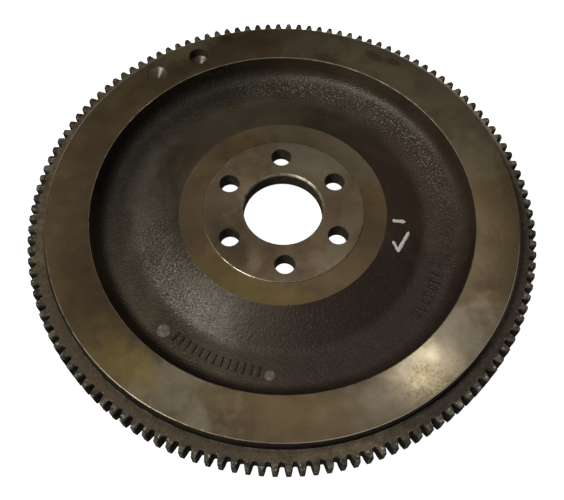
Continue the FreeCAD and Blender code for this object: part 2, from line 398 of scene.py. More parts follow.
def cast_skin():
    """Dark oily casting skin with a fine sandy grain that glints, painted shade on parts of the dish wall
    and painted glints where the highlights fall.
    """
    n = Nodes("cast_skin")
    blotch = n.noise(30.0, detail=5.0, warp=0.6)
    colour = n.ramp(blotch, ((0.30, (0.033, 0.025, 0.015)), (0.5, (0.053, 0.041, 0.025)),
                             (0.72, (0.086, 0.069, 0.045))))
    oily = n.math("MAXIMUM", n.patch(312, 84, 150, 60), n.sector(302, 22, 40))
    settled = n.times(n.sector(110, 16, 36), n.radial(86.0, 78.0))
    dusty = n.math("MAXIMUM", n.patch(178, 79, 60, 16), n.patch(162, 87, 44, 18))
    # Painted shade: near-black on the dish wall at the upper left and at the lower left.
    shaded_wall = n.times(n.sector(143, 30, 58), n.radial(84.0, 93.0))
    shaded_lower_left_wall = n.times(n.sector(248, 30, 50), n.radial(97.0, 101.0))
    for place, amount, tint in (
        (n.sector(335, 55, 95), 0.60, (0.060, 0.036, 0.025)),
        (oily, 0.75, (0.026, 0.014, 0.011)),
        (settled, 0.40, (0.115, 0.094, 0.068)),
        (dusty, 0.60, (0.100, 0.090, 0.072)),
        (shaded_wall, 0.95, (0.012, 0.009, 0.006)),
        (shaded_lower_left_wall, 0.80, (0.014, 0.009, 0.006)),
    ):
        colour = n.cover(colour, tint, place, amount)
    rust = n.span(n.noise(9.0, detail=5.0, shift=51.0), 0.58, 0.75, 0.0, 0.35)
    colour = n.mix(rust, colour, (0.055, 0.032, 0.018))
    grain = n.noise(1.3, detail=3.0, rough=0.6)
    colour = n.mix(n.span(grain, 0.5, 0.75, 0.0, 0.4), colour, (0.080, 0.068, 0.055))
    # Painted glints: light grain spots on the cone's lower left, where the left light's highlight falls;
    # worn here names that highlight's place.
    worn = n.times(n.sector(214, 20, 44), n.radial(86.0, 80.0), n.radial(60.0, 68.0))
    sparkle = n.span(n.noise(0.8, detail=2.0, shift=83.0), 0.50, 0.62)
    colour = n.cover(colour, (0.26, 0.245, 0.225), worn, sparkle, 0.65)
    specks = n.span(n.noise(1.4, detail=2.0, shift=61.0), 0.74, 0.78, 0.0, 0.8)
    colour = n.mix(specks, colour, (0.34, 0.31, 0.26))
    # Painted highlight: light specks along the fillet at the upper right, where the highlight band falls.
    highlight_crescent = n.times(n.radial(84.0, 92.0), n.radial(102.0, 97.0), n.sector(55, 30, 58))
    glints = n.span(n.noise(1.1, detail=2.0, shift=95.0), 0.57, 0.64, 0.0, 0.75)
    colour = n.cover(colour, (0.36, 0.35, 0.32), highlight_crescent, glints)
    roughness = n.span(n.noise(5.0, detail=4.0, shift=19.0), 0.35, 0.7, 0.30, 0.40)
    roughness = n.math("SUBTRACT", roughness, n.times(worn, 0.06))
    dull = n.math("MAXIMUM", shaded_wall, n.times(n.sector(290, 32, 46), 0.6))
    roughness = n.math("ADD", roughness, n.times(dull, 0.25))
    normal = n.bump(n.noise(3.5, detail=3.0, shift=7.0), 0.12)
    normal = n.bump(grain, 0.40, under=normal)
    n.shader.inputs["Specular Tint"].default_value = (1.0, 0.93, 0.81, 1.0)
    return n.finish(colour, roughness, normal, specular=0.45)


def dark_side():
    """Side of the rim, cover holes and dowel seats: brown-black turned iron under dried oil."""
    n = Nodes("dark_side")
    blotch = n.noise(9.0, detail=5.0, warp=0.5)
    colour = n.ramp(blotch, ((0.3, (0.010, 0.007, 0.004)), (0.55, (0.021, 0.015, 0.009)),
                             (0.75, (0.046, 0.033, 0.021))))
    roughness = n.span(n.noise(3.0, detail=4.0, shift=3.0), 0.3, 0.7, 0.50, 0.75)
    normal = n.bump(n.noise(0.9, detail=4.0), 0.04)
    return n.finish(colour, roughness, normal, metallic=0.1, specular=0.2)


def hole_wall():
    """Bore and bolt hole walls: brown iron with a thin old film."""
    n = Nodes("hole_wall")
    blotch = n.noise(3.0, detail=5.0, warp=0.5)
    colour = n.ramp(blotch, ((0.3, (0.045, 0.033, 0.022)), (0.55, (0.090, 0.070, 0.050)),
                             (0.75, (0.16, 0.13, 0.095))))
    normal = n.bump(n.noise(1.2, detail=4.0), 0.03)
    return n.finish(colour, n.span(blotch, 0.3, 0.7, 0.45, 0.62), normal, metallic=0.2)


def worn_edge():
    """Machined edges, handled and rubbed to bare iron in places and filmed over in others, with a painted
    highlight on the rim's outer edge and painted shade on edges that catch no light.
    """
    n = Nodes("worn_edge")
    film = (0.16, 0.12, 0.07)
    wear = n.noise(5.0, detail=5.0, rough=0.65)
    colour = n.ramp(wear, ((0.36, film), (0.5, (0.40, 0.35, 0.25)), (0.68, (0.60, 0.54, 0.42))))
    dull = n.times(n.radial(90.0, 100.0), n.radial(120.0, 112.0))
    colour = n.cover(colour, film, dull, 0.6)
    outer_edge = n.radial(126.0, 128.0)
    # Painted highlight: a bright line along the rim's outer edge round 312°.
    colour = n.cover(colour, (1.0, 0.95, 0.86), n.sector(312, 26, 44), outer_edge, 0.85)
    # Painted shade: the bolting disc's edge at the top and the rim's outer edge at the upper left darkened
    # where they catch no light.
    shaded_disc_edge = n.times(n.sector(128, 62, 84), n.radial(40.0, 43.0), n.radial(50.0, 47.0))
    shaded_outer_edge = n.times(n.sector(150, 34, 50), outer_edge, 0.85)
    colour = n.cover(colour, (0.14, 0.10, 0.058), n.math("MAXIMUM", shaded_disc_edge, shaded_outer_edge), 0.9)
    roughness = n.span(wear, 0.35, 0.65, 0.40, 0.26)
    roughness = n.math("ADD", roughness, n.times(dull, 0.15))
    normal = n.bump(n.noise(1.2, detail=3.0), 0.02)
    return n.finish(colour, roughness, normal, metallic=0.6)


def fresh_cut():
    """Drill points in the rim: smooth iron, darkened by oil, that glints in a wedge as a cone does."""
    n = Nodes("fresh_cut")
    blotch = n.noise(5.0, detail=3.0)
    colour = n.ramp(blotch, ((0.3, (0.090, 0.070, 0.047)), (0.7, (0.17, 0.140, 0.100))))
    grime = n.span(n.noise(1.2, detail=4.0, shift=23.0), 0.55, 0.72, 0.0, 0.6)
    colour = n.mix(grime, colour, (0.030, 0.021, 0.013))
    normal = n.bump(n.noise(0.9, detail=2.0), 0.006)
    return n.finish(colour, n.span(grime, 0.0, 0.6, 0.36, 0.50), normal, metallic=0.45)


def rubbed_casting():
    """The two cast pads, rubbed lighter than the skin round them."""
    n = Nodes("rubbed_casting")
    blotch = n.noise(1.6, detail=5.0)
    colour = n.ramp(blotch, ((0.3, (0.065, 0.055, 0.045)), (0.5, (0.145, 0.126, 0.108)),
                             (0.7, (0.25, 0.225, 0.195))))
    normal = n.bump(n.noise(0.7, detail=4.0), 0.09)
    return n.finish(colour, n.span(n.noise(1.2), 0.3, 0.7, 0.5, 0.7), normal)


def gear_steel(name, dark, middle, light, smooth, rough, metallic, grain_depth, arcs, glints):
    """Ring gear steel: brown film over grey metal, with a grain and bright spots that are partly nicks and
    partly painted glints.
    """
    n = Nodes(name)
    blotch = n.noise(6.0, detail=6.0, rough=0.6, warp=0.4)
    colour = n.ramp(blotch, ((0.32, dark), (0.5, middle), (0.70, light)))
    for *place, tint, amount in arcs:
        colour = n.cover(colour, tint, n.sector(*place), amount)
    grime = n.span(n.noise(1.4, detail=4.0, shift=29.0), 0.52, 0.72, 0.0, 0.6)
    colour = n.mix(grime, colour, (0.016, 0.012, 0.009))
    # Bright spots: partly nicks, partly painted glints.
    nicks_and_glints = n.span(n.noise(1.8, detail=2.0, shift=67.0), 0.58, 0.65, 0.0, glints)
    colour = n.mix(nicks_and_glints, colour, (0.85, 0.82, 0.74))
    roughness = n.span(n.noise(2.0, detail=4.0, shift=43.0), 0.3, 0.7, smooth, rough)
    normal = n.bump(n.noise(3.0, detail=4.0, shift=11.0), 2 * grain_depth)
    normal = n.bump(n.noise(0.8, detail=4.0), grain_depth, under=normal)
    return n.finish(colour, roughness, normal, metallic=metallic)


def ground_steel():
    """Dowel steel, ground bright, with fine marks round the pin and a little rust."""
    n = Nodes("ground_steel")
    rust = n.span(n.noise(1.8, detail=5.0, shift=17.0), 0.56, 0.70)
    colour = n.mix(rust, (0.46, 0.44, 0.41), (0.16, 0.085, 0.045))
    marks = n.new("TexNoise", {"Vector": n.vector("MULTIPLY", n.position, (0.15, 0.15, 9.0))})
    normal = n.bump(marks.outputs["Fac"], 0.012)
    return n.finish(colour, n.span(rust, 0.0, 1.0, 0.26, 0.65), normal, metallic=0.95)


def marking_paint():
    """Dry white marking paint, thin enough to break up over the grain."""
    n = Nodes("marking_paint")
    wear = n.span(n.noise(0.9, detail=4.0), 0.58, 0.72)
    colour = n.mix(wear, (0.98, 0.97, 0.95), (0.82, 0.80, 0.76))
    normal = n.bump(n.noise(0.8, detail=4.0), 0.05)
    return n.finish(colour, n.span(wear, 0.0, 1.0, 0.5, 0.75), normal)


def studio_floor():
    """Plain white table and backdrop, lit from within as a light table is."""
    n = Nodes("studio_floor")
    grain = n.noise(4.0, detail=2.0)
    n.shader.inputs["Emission Color"].default_value = (1.0, 1.0, 1.0, 1.0)
    n.shader.inputs["Emission Strength"].default_value = 1.0
    colour = n.mix(grain, (0.80, 0.80, 0.80), (0.84, 0.84, 0.84))
    return n.finish(colour, 0.8, n.bump(grain, 0.01), specular=0.1)


BROWN = (0.120, 0.083, 0.045)
GOLDEN = (0.27, 0.200, 0.072)
OLIVE = (0.165, 0.118, 0.052)
BARE = (0.310, 0.270, 0.185)
RUSTY = (0.19, 0.130, 0.045)
SMOKY = (0.090, 0.064, 0.042)
RUST_SPOT = (0.105, 0.058, 0.032)

# Dark, middle and light colour of each turned face's film.
RIM_FILM = (BROWN, (0.175, 0.124, 0.068), (0.225, 0.165, 0.095))
HUB_FILM = ((0.150, 0.100, 0.048), (0.200, 0.138, 0.068), (0.240, 0.160, 0.075))
DISC_FILM = ((0.180, 0.125, 0.072), (0.245, 0.178, 0.108), (0.310, 0.240, 0.155))
CLUTCH_FILM = ((0.20, 0.185, 0.16), (0.31, 0.295, 0.27), (0.42, 0.405, 0.38))

# turned_iron says what each number of a stain, a freckle and an arc is.
# The light patches round 245°, 296°, 309° and 321° are painted highlights, partly over bare metal, where
# the lights' streaks fall; the others are stains, bare metal and rust.
RIM_STAINS_AND_HIGHLIGHTS = (
    (229, 120, 54, 30, (0.40, 0.31, 0.12), 0.90),
    (245, 117, 60, 38, (0.45, 0.39, 0.27), 0.65),
    (296, 118, 46, 28, (0.30, 0.285, 0.230), 0.35),
    (281, 117, 44, 22, (0.165, 0.120, 0.056), 0.60),
    (321, 116, 42, 38, (0.38, 0.35, 0.27), 0.50),
    (231, 118, 30, 16, (0.52, 0.39, 0.13), 0.60),
    (256, 113, 32, 14, (0.21, 0.145, 0.058), 0.65),
    (269, 116, 22, 14, (0.20, 0.142, 0.062), 0.50),
    (50, 119, 120, 34, BARE, 0.35),
    (309, 116, 44, 34, (0.33, 0.30, 0.21), 0.65),
    (2, 117, 80, 30, OLIVE, 0.65),
    (108, 118, 60, 30, SMOKY, 0.5),
    (198, 118, 70, 22, BROWN, 0.6),
    (80, 118, 50, 30, BARE, 0.35),
    (20, 118, 40, 30, BARE, 0.35),
    (121, 127, 46, 12, (0.29, 0.245, 0.140), 0.70),
    (143, 127, 52, 12, (0.29, 0.240, 0.138), 0.70),
    (165, 127, 46, 12, (0.27, 0.215, 0.120), 0.60),
    (155, 112, 52, 15, (0.090, 0.058, 0.033), 0.50),
    (128, 113, 34, 13, (0.090, 0.060, 0.036), 0.45),
    (108, 125, 11, 6, RUST_SPOT, 0.75),
    (99, 119, 15, 8, RUST_SPOT, 0.60),
    (63, 122, 14, 7, RUST_SPOT, 0.65),
    (58, 124, 9, 5, RUST_SPOT, 0.60),
    (78, 110, 16, 5, RUST_SPOT, 0.45),
)
RIM_FRECKLES = (
    (307, 122, 40, 18, RUSTY, 0.85),
    (350, 118, 90, 24, SMOKY, 0.35),
)
RIM_POLISH = ((309, 3, 12),)
RIM_ARCS = ((180, 38, 60, (0.150, 0.100, 0.048), 0.6),)
# Painted light on the far side of the bevel, brightest round 138°, and painted shade on the near side
# round 262°.
BEVEL_LIGHT_AND_SHADE = (
    (110, 60, 85, BARE, 0.8),
    (138, 22, 38, (0.52, 0.44, 0.30), 0.9),
    (262, 60, 76, (0.025, 0.017, 0.010), 0.9),
)
# The golden patch round 260° is partly golden tone and partly a painted highlight where the left light's
# streak falls.
HUB_STAINS_AND_HIGHLIGHT = (
    (260, 52, 90, 16, GOLDEN, 0.45),
    (80, 51, 90, 18, BARE, 0.45),
    (185, 51, 50, 18, BROWN, 0.7),
    (345, 51, 30, 18, BROWN, 0.5),
    (150, 52, 40, 14, SMOKY, 0.4),
)
# The light patch round 318° is partly bare metal and partly a painted highlight where the first light's
# streak falls.
DISC_STAINS_AND_HIGHLIGHT = (
    (222, 36, 26, 14, SMOKY, 0.6),
    (318, 40, 24, 12, BARE, 0.55),
    (66, 38, 50, 20, BARE, 0.75),
    (180, 36, 60, 26, SMOKY, 0.55),
)
# The golden arc round 243° is partly golden tone and partly a painted highlight where the left light's
# streak falls.
HUB_ARCS_AND_HIGHLIGHT = (
    (325, 28, 48, BROWN, 0.50),
    (183, 14, 30, BROWN, 0.60),
    (40, 12, 26, BARE, 0.50),
    (243, 6, 20, GOLDEN, 0.60),
)
DISC_ARCS = (
    (345, 22, 42, BROWN, 0.45),
    (218, 12, 28, BROWN, 0.35),
    (70, 16, 36, BARE, 0.60),
)
# Lighter round 52° is painted light, darker round 334° is painted shade where the rim's shadow falls, and
# the darker brown round 235° is a stain.
LAND_LIGHT_SHADE_AND_STAIN = (
    (52, 26, 36, (0.40, 0.35, 0.24), 0.90),
    (334, 28, 44, (0.042, 0.029, 0.019), 0.85),
    (235, 26, 44, (0.085, 0.059, 0.032), 0.85),
)
# Painted glints: lighter tooth tips at the lower left, where the left light catches them.
TIP_PAINTED_GLINTS = ((240, 8, 66, (0.36, 0.33, 0.27), 0.45),)

CASTING_MATERIALS = {
    "rim_face": turned_iron("rim_face", RIM_FILM, RIM_STAINS_AND_HIGHLIGHTS, smooth=0.34, rough=0.45,
                            polished=RIM_POLISH, arcs=RIM_ARCS, freckles=RIM_FRECKLES),
    "rim_bevel": turned_iron("rim_bevel", RIM_FILM, metallic=0.4, arcs=BEVEL_LIGHT_AND_SHADE),
    "hub_annulus": turned_iron("hub_annulus", HUB_FILM, HUB_STAINS_AND_HIGHLIGHT, smooth=0.50, rough=0.62,
                               arcs=HUB_ARCS_AND_HIGHLIGHT, cloud=16.0),
    "bolting_disc": turned_iron("bolting_disc", DISC_FILM, DISC_STAINS_AND_HIGHLIGHT, smooth=0.46, rough=0.60,
                                arcs=DISC_ARCS, cloud=13.0),
    "clutch_side": turned_iron("clutch_side", CLUTCH_FILM, smooth=0.26, rough=0.40, metallic=0.95),
    "cast_skin": cast_skin(),
    "dark_side": dark_side(),
    "hole_wall": hole_wall(),
    "worn_edge": worn_edge(),
    "fresh_cut": fresh_cut(),
    "rubbed_casting": rubbed_casting(),
}
CASTING_SLOTS = list(CASTING_MATERIALS)

# Dark, middle and light colour, smooth and rough, metallic, grain depth, arcs and glints; the arcs are
# painted light, painted shade and stains, and the glints are painted glints and nicks.
GEAR_LOOKS = {
    "gear_land": ((0.075, 0.052, 0.026), (0.150, 0.110, 0.060), (0.22, 0.170, 0.105),
                  0.50, 0.66, 0.3, 0.05, LAND_LIGHT_SHADE_AND_STAIN, 0.04),
    # gear_flank: dark oily steel, darkened further as painted shade in the tooth gaps.
    "gear_flank": ((0.010, 0.008, 0.005), (0.032, 0.026, 0.018), (0.090, 0.080, 0.064),
                   0.34, 0.52, 0.3, 0.02, (), 0.10),
    "gear_crown": ((0.022, 0.016, 0.009), (0.078, 0.059, 0.035), (0.27, 0.23, 0.165),
                   0.36, 0.54, 0.3, 0.04, (), 0.45),
    "gear_tip": ((0.018, 0.014, 0.009), (0.065, 0.053, 0.036), (0.40, 0.37, 0.31),
                 0.26, 0.42, 0.3, 0.03, TIP_PAINTED_GLINTS, 0.9),
    "gear_entry": ((0.040, 0.034, 0.025), (0.14, 0.124, 0.098), (0.38, 0.36, 0.31),
                   0.30, 0.50, 0.4, 0.02, (), 0.5),
    "gear_wear": ((0.16, 0.14, 0.11), (0.42, 0.40, 0.35), (0.80, 0.78, 0.72),
                  0.28, 0.42, 0.5, 0.02, (), 0.0),
}
GEAR_MATERIALS = {name: gear_steel(name, *look) for name, look in GEAR_LOOKS.items()}
GEAR_SLOTS = list(GEAR_MATERIALS)


# ------------ mesh helpers


def polar(radius, angle, z=0.0):
    """Point at a radius and an angle in degrees round the turning axis, in metres."""
    return Vector(on_circle(radius, math.radians(angle), z)) * MM


def spaced_angles(count, first):
    """Evenly spaced angles round a full turn."""
    return [first + 360.0 * index / count for index in range(count)]


def add_object(name, data, materials=()):
    """Puts a mesh, camera or light in the scene."""
    added = bpy.data.objects.new(name, data)
    bpy.context.scene.collection.objects.link(added)
    for material in materials:
        data.materials.append(material)
    return added


def mesh_from(name, points, faces, indices=None):
    """Mesh from points in metres, with a material index for each face."""
    mesh = bpy.data.meshes.new(name)
    mesh.from_pydata(points, [], faces)
    if indices is not None:
        mesh.polygons.foreach_set("material_index", indices)
    mesh.update()
    return mesh


def smooth_by_angle(mesh, degrees):
    """Smooth shading that stays sharp across edges steeper than the angle."""
    mesh.polygons.foreach_set("use_smooth", [True] * len(mesh.polygons))
    mesh.set_sharp_from_angle(angle=math.radians(degrees))


def ring_faces(rings, steps, closed=False, start=0):
    """Quads between neighbouring rings of the same number of points, the first of them at start."""
    faces = []
    last = rings if closed else rings - 1
    for ring in range(last):
        here = start + ring * steps
        there = start + (ring + 1) % rings * steps
        for step in range(steps):
            following = (step + 1) % steps
            faces.append((here + step, there + step, there + following, here + following))
    return faces


# ------------ the casting


def casting_corners():
    """Half section of the casting: radius, height, rounding, and the surface and step that follow.

    A row that gives no step has the step of the machined faces.
    """
    wall_foot_r = DISH_WALL_TOP_R - (RIM_FACE_Z - DISH_FLOOR_Z) * math.tan(math.radians(DISH_WALL_DRAFT))
    rows = [
        (BORE_R, BOLTING_FACE_Z - BORE_CHAMFER, RUB_ROUND, "worn_edge"),
        (BORE_R + BORE_CHAMFER, BOLTING_FACE_Z - RUB_DROP, RUB_ROUND, "worn_edge"),
        (BORE_R + BORE_CHAMFER + RUB_WIDTH, BOLTING_FACE_Z, RUB_ROUND, "bolting_disc"),
        (BOLTING_DISC_R - RUB_WIDTH, BOLTING_FACE_Z, RUB_ROUND, "worn_edge"),
        (BOLTING_DISC_R, BOLTING_FACE_Z - RUB_DROP, RUB_ROUND, "bolting_disc"),
        (BOLTING_DISC_R, HUB_ANNULUS_Z, EDGE_ROUND, "hub_annulus"),
        (HUB_ANNULUS_R, HUB_ANNULUS_Z, EDGE_ROUND, "cast_skin", CAST_STEP),
        (CONE_FOOT_R, DISH_FLOOR_Z, CONE_FOOT_FILLET, "cast_skin", CAST_STEP),
        (wall_foot_r, DISH_FLOOR_Z, DISH_FILLET, "cast_skin", CAST_STEP),
        (DISH_WALL_TOP_R, RIM_FACE_Z - RUB_DROP, RUB_ROUND, "worn_edge"),
        (DISH_WALL_TOP_R + RUB_WIDTH, RIM_FACE_Z, RUB_ROUND, "rim_face"),
        (GEAR_SEAT_R - RIM_BEVEL - RUB_WIDTH, RIM_FACE_Z, RUB_ROUND, "worn_edge"),
        (GEAR_SEAT_R - RIM_BEVEL, RIM_FACE_Z - RUB_DROP, RUB_ROUND, "rim_bevel"),
        (GEAR_SEAT_R, RIM_FACE_Z - RIM_BEVEL, EDGE_ROUND, "dark_side"),
        (GEAR_SEAT_R, GEAR_BOTTOM_Z, 0.0, "dark_side"),
        (SHOULDER_R, GEAR_BOTTOM_Z, EDGE_ROUND, "dark_side"),
        (SHOULDER_R, COVER_SEAT_Z + RIM_BEVEL, EDGE_ROUND, "clutch_side"),
        (SHOULDER_R - RIM_BEVEL, COVER_SEAT_Z, EDGE_ROUND, "clutch_side"),
        (FRICTION_OUTER_R + EDGE_BREAK, COVER_SEAT_Z, 0.0, "clutch_side"),
        (FRICTION_OUTER_R, FRICTION_FACE_Z, EDGE_ROUND, "clutch_side"),
        (RECESS_MOUTH_R + EDGE_BREAK, FRICTION_FACE_Z, EDGE_ROUND, "clutch_side"),
        (RECESS_MOUTH_R, FRICTION_FACE_Z + EDGE_BREAK, RUB_ROUND, "cast_skin", RECESS_STEP),
        (RECESS_FLOOR_R, HUB_BACK_Z, RECESS_FILLET, "clutch_side"),
        (BORE_R + BORE_CHAMFER, HUB_BACK_Z, EDGE_ROUND, "clutch_side"),
        (BORE_R, HUB_BACK_Z + BORE_CHAMFER, RUB_ROUND, "hole_wall"),
    ]
    return [row if len(row) == 5 else (*row, FACE_STEP) for row in rows]


def rounded_path(corners):
    """Closed path through the corners: radius and height of each point, and the surface and step after."""
    count = len(corners)
    spots = [np.array(corner[:2]) for corner in corners]
    arcs = []
    for index, (_, _, rounding, _, step) in enumerate(corners):
        here = spots[index]
        to_last = spots[index - 1] - here
        to_next = spots[(index + 1) % count] - here
        to_last = to_last / np.linalg.norm(to_last)
        to_next = to_next / np.linalg.norm(to_next)
        if rounding == 0:
            arcs.append([here])
            continue
        half = math.acos(np.clip(to_last @ to_next, -1, 1)) / 2
        reach = rounding / math.tan(half)
        bisector = (to_last + to_next) / np.linalg.norm(to_last + to_next)
        centre = here + bisector * rounding / math.sin(half)
        start = here + to_last * reach - centre
        sweep = math.pi - 2 * half
        way = math.copysign(1, start[1] * bisector[0] - start[0] * bisector[1])
        pieces = max(3, round(rounding * sweep / step))
        arc = []
        for piece in range(pieces + 1):
            turn = way * sweep * piece / pieces
            spin = np.array([[math.cos(turn), -math.sin(turn)], [math.sin(turn), math.cos(turn)]])
            arc.append(centre + spin @ start)
        arcs.append(arc)
    path = []
    for index, (_, _, _, surface, step) in enumerate(corners):
        before = corners[index - 1][3:]
        for spot in arcs[index][:-1]:
            path.append((spot, *before))
        stop = arcs[index][-1]
        following = arcs[(index + 1) % count][0]
        pieces = max(1, round(float(np.linalg.norm(following - stop)) / step))
        for piece in range(pieces):
            path.append((stop + (following - stop) * piece / pieces, surface, step))
    return path


def sand_relief(x, y, z):
    """Unevenness of the sand-cast skin at a point in millimetres, in millimetres."""
    spot = Vector((x, y, z))
    return sum(noise.noise(spot / size + Vector(start)) * height for size, start, height in SAND_SWELLS)


def edge_fade(radius, z):
    """0 at the machined edges of the cast skin and 1 a little way in."""
    in_recess = z < DISH_FLOOR_Z - 1
    if in_recess:
        return min(1.0, (RECESS_MOUTH_R - radius) / SAND_FADE)
    from_hub = (radius - HUB_ANNULUS_R) / SAND_FADE
    from_rim = (RIM_FACE_Z - z) / SAND_FADE
    return max(0.0, min(1.0, from_hub, from_rim))


def bridge_faces(here, here_steps, there, there_steps):
    """Faces between two rings that start at those points, and may differ in fineness several times."""
    steps = min(here_steps, there_steps)
    faces = []
    for step in range(steps):
        near = span_of_ring(here, here_steps, step, steps)
        far = span_of_ring(there, there_steps, step, steps)
        faces.append((near[0], *far, *near[:0:-1]))
    return faces


def span_of_ring(start, ring_steps, step, steps):
    """Points of a ring along one of the equal spans it is divided into, ends included."""
    share = ring_steps // steps
    return [start + (step * share + point) % ring_steps for point in range(share + 1)]


def casting_blank():
    """The turned and cast body before any hole, as one closed skin."""
    path = rounded_path(casting_corners())
    points = []
    rings = []
    for index, (spot, surface, fineness) in enumerate(path):
        ahead = path[(index + 1) % len(path)][0]
        behind, before, _ = path[index - 1]
        along = (ahead - behind) / np.linalg.norm(ahead - behind)
        outward = np.array([-along[1], along[0]])
        is_cast = surface == "cast_skin" and before == "cast_skin"
        steps = TURN_STEPS * (DISH_FINENESS if fineness == CAST_STEP else 1)
        rings.append((len(points), steps))
        for step in range(steps):
            turn = 2 * math.pi * step / steps
            radius, z = spot
            if is_cast:
                relief = sand_relief(*on_circle(radius, turn, z))
                radius, z = spot + outward * relief * edge_fade(radius, z)
            points.append(metres(on_circle(radius, turn, z)))
    faces = []
    indices = []
    for index, (_, surface, _) in enumerate(path):
        strip = bridge_faces(*rings[index], *rings[(index + 1) % len(rings)])
        faces += strip
        indices += [CASTING_SLOTS.index(surface)] * len(strip)
    return mesh_from("casting_body", points, faces, indices)


def turned_tool(profile, steps):
    """Closed solid of revolution about its own Z, from (radius, height) points with both ends on it."""
    rings = profile[1:-1]
    points = [(0.0, 0.0, profile[0][1] * MM)]
    for radius, z in rings:
        for step in range(steps):
            points.append(metres(on_circle(radius, 2 * math.pi * step / steps, z)))
    points.append((0.0, 0.0, profile[-1][1] * MM))
    last = len(points) - 1
    top = 1 + (len(rings) - 1) * steps
    faces = [(0, 1 + (step + 1) % steps, 1 + step) for step in range(steps)]
    faces += [face[::-1] for face in ring_faces(len(rings), steps, start=1)]
    faces += [(last, top + step, top + (step + 1) % steps) for step in range(steps)]
    return points, faces


class Tools:
    """Cutting or adding shapes gathered into one mesh, so that one Boolean does them all."""

    def __init__(self, name):
        self.name = name
        self.points = []
        self.faces = []
        self.indices = []

    def add(self, shape, place, surface, turn=0.0, floor=None):
        """Adds a (points, faces) shape at a place in metres, turned about Z by degrees.

        floor is another surface for the point of a drill.
        """
        points, faces = shape
        start = len(self.points)
        matrix = Matrix.Translation(place) @ Matrix.Rotation(math.radians(turn), 4, "Z")
        self.points += [matrix @ Vector(point) for point in points]
        self.faces += [tuple(start + corner for corner in face) for face in faces]
        cone_faces = 0 if floor is None else 2 * HOLE_STEPS
        self.indices += [CASTING_SLOTS.index(floor or surface)] * cone_faces
        self.indices += [CASTING_SLOTS.index(surface)] * (len(faces) - cone_faces)

    def apply(self, body, operation):
        """Runs the Boolean on the body and drops the tool."""
        mesh = mesh_from(self.name, self.points, self.faces, self.indices)
        tool = add_object(self.name, mesh, CASTING_MATERIALS.values())
        modifier = body.modifiers.new(self.name, "BOOLEAN")
        modifier.operation = operation
        modifier.solver = "MANIFOLD"
        modifier.object = tool
        graph = bpy.context.evaluated_depsgraph_get()
        result = bpy.data.meshes.new_from_object(body.evaluated_get(graph))
        body.modifiers.clear()
        old = body.data
        result.name = old.name
        body.data = result
        bpy.data.meshes.remove(old)
        bpy.data.objects.remove(tool)
        bpy.data.meshes.remove(mesh)


def drill(radius, top, bottom, edge_break, point_angle=None):
    """Drill shape from above the surface at top down to bottom, with a broken edge and a point."""
    if point_angle is None:
        profile = [(0.0, bottom), (radius, bottom)]
    else:
        point = radius / math.tan(math.radians(point_angle / 2))
        eye = (CONE_EYE * radius, bottom - point * (1 - CONE_EYE))
        profile = [(0.0, bottom - point), eye, (radius, bottom)]
    profile += [
        (radius, top - edge_break),
        (radius + edge_break, top),
        (radius + edge_break, top + OVERRUN),
        (0.0, top + OVERRUN),
    ]
    return turned_tool(profile, HOLE_STEPS)


def flipped(shape):
    """The shape turned over, so that it works from below."""
    points, faces = shape
    return [(x, y, -z) for x, y, z in points], [face[::-1] for face in faces]


def cut_holes(body):
    """Crankshaft bolt holes, balance drillings, clutch cover holes and dowel seats."""
    tools = Tools("drills")
    for angle in spaced_angles(CRANK_BOLTS, CRANK_FIRST_ANGLE):
        shape = drill(CRANK_HOLE_R, BOLTING_FACE_Z, HUB_BACK_Z - OVERRUN, HOLE_EDGE_BREAK)
        tools.add(shape, polar(CRANK_CIRCLE_R, angle), "hole_wall")
    for circle_r, angle, depth in BALANCE_DRILLINGS:
        shape = drill(BALANCE_R, RIM_FACE_Z, RIM_FACE_Z - depth, BALANCE_EDGE_BREAK, POINT_ANGLE)
        tools.add(shape, polar(circle_r, angle), "hole_wall", floor="fresh_cut")
    mouth = -COVER_SEAT_Z
    for angle in spaced_angles(COVER_BOLTS, COVER_FIRST_ANGLE):
        shape = drill(COVER_HOLE_R, mouth, mouth - COVER_HOLE_DEPTH, COVER_EDGE_BREAK, POINT_ANGLE)
        tools.add(flipped(shape), polar(COVER_CIRCLE_R, angle), "dark_side")
    for angle in spaced_angles(DOWELS, DOWEL_FIRST_ANGLE):
        shape = drill(DOWEL_SHANK_R, mouth, mouth - DOWEL_SEAT_DEPTH, DOWEL_EDGE_BREAK)
        tools.add(flipped(shape), polar(DOWEL_CIRCLE_R, angle), "dark_side")
    tools.apply(body, "DIFFERENCE")


def low_pad(radius):
    """Round pad with a domed top, standing through the dish floor."""
    profile = [(0.0, -DETAIL_SINK), (radius, -DETAIL_SINK)]
    profile += [(radius + out, PAD_HEIGHT + up) for out, up in PAD_EDGE]
    return turned_tool(profile + [(0.0, PAD_HEIGHT + PAD_DOME)], HOLE_STEPS)


def low_bar(length, width, height):
    """Plain raised bar with sloping sides, longest along its X."""
    points = []
    levels = [(-DETAIL_SINK, 0.0)] + [(height * up, width * inward) for up, inward in RIB_LEVELS]
    for z, inset in levels:
        across = length / 2 - inset
        along = width / 2 - inset
        for x, y in ((-across, -along), (across, -along), (across, along), (-across, along)):
            points.append(metres((x, y, z)))
    top = 4 * len(RIB_LEVELS)
    faces = [(3, 2, 1, 0), (top, top + 1, top + 2, top + 3)]
    for level in range(len(RIB_LEVELS)):
        for side in range(4):
            here = level * 4 + side
            following = level * 4 + (side + 1) % 4
            faces.append((here, following, following + 4, here + 4))
    return points, faces


